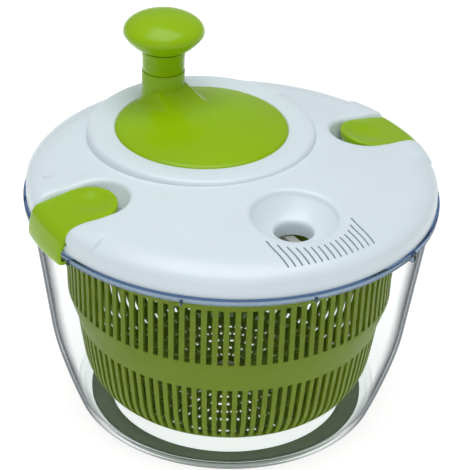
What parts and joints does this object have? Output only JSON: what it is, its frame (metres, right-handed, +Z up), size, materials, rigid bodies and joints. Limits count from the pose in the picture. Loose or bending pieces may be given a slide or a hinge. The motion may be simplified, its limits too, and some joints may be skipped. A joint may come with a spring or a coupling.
{
  "type": "salad spinner",
  "caption": "Salad spinner with a clear bowl, slotted basket, geared crank lid with a fill funnel, drain slits and rocker latches.",
  "frame": {"origin": "centre of the foot ring's underside, under the middle of the bowl", "axes": "+Z up, -Y towards the fill funnel and the drain slits, +X and -X towards the two latches"},
  "size_m": [0.256, 0.2514, 0.229],
  "materials": {
    "clear_bowl": "clear moulded plastic with a faint blue tint",
    "green_plastic": "satin moulded plastic",
    "green_gloss": "semi-gloss moulded plastic",
    "white_plastic": "semi-gloss moulded plastic, white with a faint blue tint",
    "grey_plastic": "satin moulded plastic",
    "natural_plastic": "natural bearing plastic",
    "foot_rubber": "soft non-slip ring",
    "steel": "plain stainless steel"
  },
  "bodies": {
    "base": {"bowl": "clear_bowl", "foot_ring": "foot_rubber", "pivot_pin": "steel"},
    "basket": {"basket": "green_plastic", "basket_bush": "natural_plastic"},
    "lid": {"lid": "white_plastic", "gear_cover": "white_plastic", "cover_screw_1": "steel", "cover_screw_2": "steel", "cover_screw_3": "steel", "cover_screw_4": "steel", "spider_screw": "steel", "latch_pin_left": "steel", "latch_pin_right": "steel", "latch_spring_left": "steel", "latch_spring_right": "steel"},
    "drive": {"drive_pinion": "natural_plastic", "drive_spider": "grey_plastic"},
    "crank": {"crank_disc": "green_gloss", "crank_gear": "natural_plastic", "crank_washer": "natural_plastic", "crank_screw": "steel", "knob_pin": "steel"},
    "knob": {"knob_grip": "green_gloss", "knob_cap": "green_gloss"},
    "latch_left": {"latch_left": "green_gloss"},
    "latch_right": {"latch_right": "green_gloss"}
  },
  "joints": [
    {"name": "lid_lift", "type": "slide", "parent": "base", "child": "lid", "axis": [0, 0, 1], "range_m": [0, 0.2]},
    {"name": "crank_spin", "type": "hinge", "parent": "lid", "child": "crank", "pos_m": [0, 0.0385, 0.165], "axis": [0, 0, 1], "continuous": true},
    {"name": "pinion_spin", "type": "hinge", "parent": "lid", "child": "drive", "pos_m": [0, 0, 0.15], "axis": [0, 0, 1], "continuous": true},
    {"name": "basket_spin", "type": "hinge", "parent": "base", "child": "basket", "pos_m": [0, 0, 0.012], "axis": [0, 0, 1], "continuous": true},
    {"name": "knob_spin", "type": "hinge", "parent": "crank", "child": "knob", "pos_m": [-0.00557, 0.07811, 0.2], "axis": [0, 0, 1], "continuous": true},
    {"name": "latch_left", "type": "hinge", "parent": "lid", "child": "latch_left", "pos_m": [-0.117, 0, 0.1525], "axis": [0, 1, 0], "range_deg": [0, 12], "stiffness_Nm_per_rad": 0.4, "springref_deg": -8.59, "deforming": ["latch_spring_left"]},
    {"name": "latch_right", "type": "hinge", "parent": "lid", "child": "latch_right", "pos_m": [0.117, 0, 0.1525], "axis": [0, -1, 0], "range_deg": [0, 12], "stiffness_Nm_per_rad": 0.4, "springref_deg": -8.59, "deforming": ["latch_spring_right"]}
  ],
  "couplings": [
    {"joint": "pinion_spin", "follows": "crank_spin", "ratio": -4},
    {"joint": "basket_spin", "follows": "crank_spin", "ratio": -4}
  ]
}
